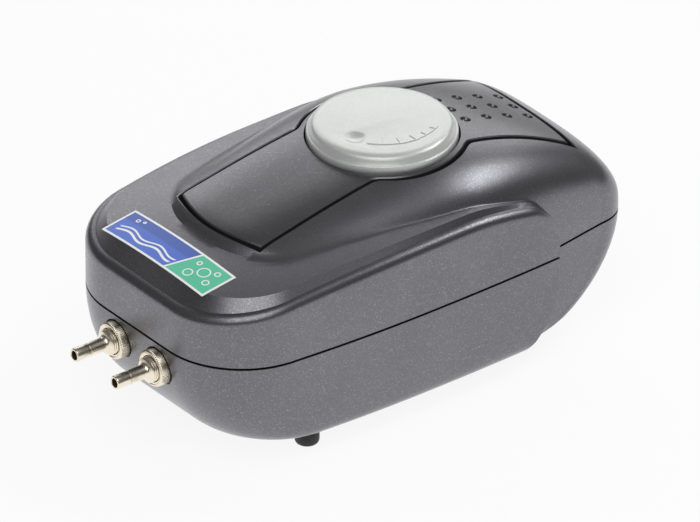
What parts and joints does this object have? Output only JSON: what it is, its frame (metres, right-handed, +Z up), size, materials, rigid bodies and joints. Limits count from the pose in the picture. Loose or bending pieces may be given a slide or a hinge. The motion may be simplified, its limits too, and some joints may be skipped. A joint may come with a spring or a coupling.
{
  "type": "air pump",
  "caption": "Twin-outlet diaphragm air pump: rounded two-part case, inset top panel, turning flow knob, hose nozzles in ring nuts, rubber feet.",
  "frame": {"origin": "centre of the bounding box in plan, on the floor under the feet", "axes": "-Y is the front with the two hose nozzles, +Z is up, +X is the right-hand side as seen from the tail"},
  "size_m": [0.101, 0.196, 0.0843],
  "materials": {
    "shell": "fine satin texture",
    "panel": "satin",
    "knob": "silver satin lacquer",
    "nickel": "nickel plated",
    "steel": "zinc plated",
    "rubber": "matte",
    "white": "moulded",
    "copper": "enamelled copper",
    "board": "laminate",
    "black": "moulded",
    "felt": "felt",
    "silicone": "silicone",
    "magnet": "sintered"
  },
  "bodies": {
    "case": {"case_gasket": "rubber", "circuit_board": "board", "coil_bobbin": "white", "coil_winding": "copper", "cord_gland": "rubber", "film_capacitor": "copper", "filter_cover": "shell", "filter_felt": "felt", "front_left_case_screw": "steel", "front_left_foot": "rubber", "front_right_case_screw": "steel", "front_right_foot": "rubber", "laminated_core": "steel", "left_air_hose": "rubber", "left_board_screw": "steel", "left_chamber_cover": "black", "left_core_screw": "steel", "left_diaphragm": "rubber", "left_nozzle_nut": "nickel", "left_nozzle_seal": "rubber", "left_outlet_nozzle": "nickel", "left_pivot_bush": "rubber", "left_pump_chamber": "black", "lower_shell": "shell", "potentiometer": "black", "rear_left_case_screw": "steel", "rear_left_foot": "rubber", "rear_right_case_screw": "steel", "rear_right_foot": "rubber", "right_air_hose": "rubber", "right_board_screw": "steel", "right_chamber_cover": "black", "right_core_screw": "steel", "right_diaphragm": "rubber", "right_nozzle_nut": "nickel", "right_nozzle_seal": "rubber", "right_outlet_nozzle": "nickel", "right_pivot_bush": "rubber", "right_pump_chamber": "black", "top_panel": "panel", "triac": "black", "upper_shell": "shell"},
    "knob": {"flow_knob": "knob", "knob_spindle": "white"},
    "left_arm": {"left_swing_arm": "white", "left_magnet": "magnet", "left_diaphragm_screw": "steel"},
    "left_inlet_valve": {"left_inlet_flap": "silicone"},
    "left_outlet_valve": {"left_outlet_flap": "silicone"},
    "right_arm": {"right_swing_arm": "white", "right_magnet": "magnet", "right_diaphragm_screw": "steel"},
    "right_inlet_valve": {"right_inlet_flap": "silicone"},
    "right_outlet_valve": {"right_outlet_flap": "silicone"}
  },
  "joints": [
    {"name": "knob_turn", "type": "hinge", "parent": "case", "child": "knob", "pos_m": [0, 0.0221, 0.0771], "axis": [0, 0, 1], "range_deg": [-135, 135]},
    {"name": "left_arm_swing", "type": "hinge", "parent": "case", "child": "left_arm", "pos_m": [-0.024, -0.0465, 0.0323], "axis": [0, 0, 1], "range_deg": [-2, 2], "stiffness_Nm_per_rad": 1.5, "deforming": ["left_diaphragm"]},
    {"name": "right_arm_swing", "type": "hinge", "parent": "case", "child": "right_arm", "pos_m": [0.024, -0.0465, 0.0323], "axis": [0, 0, 1], "range_deg": [-2, 2], "stiffness_Nm_per_rad": 1.5, "deforming": ["right_diaphragm"]},
    {"name": "left_inlet_open", "type": "hinge", "parent": "case", "child": "left_inlet_valve", "pos_m": [-0.0076, -0.0175, 0.0355], "axis": [0, 1, 0], "range_deg": [0, 15], "stiffness_Nm_per_rad": 0.00001},
    {"name": "left_outlet_open", "type": "hinge", "parent": "case", "child": "left_outlet_valve", "pos_m": [-0.0044, -0.0275, 0.0355], "axis": [0, -1, 0], "range_deg": [0, 15], "stiffness_Nm_per_rad": 0.00001},
    {"name": "right_inlet_open", "type": "hinge", "parent": "case", "child": "right_inlet_valve", "pos_m": [0.0076, -0.0175, 0.0355], "axis": [0, -1, 0], "range_deg": [0, 15], "stiffness_Nm_per_rad": 0.00001},
    {"name": "right_outlet_open", "type": "hinge", "parent": "case", "child": "right_outlet_valve", "pos_m": [0.0044, -0.0275, 0.0355], "axis": [0, 1, 0], "range_deg": [0, 15], "stiffness_Nm_per_rad": 0.00001}
  ],
  "couplings": [
    {"joint": "left_arm_swing", "follows": "right_arm_swing", "ratio": -1}
  ]
}
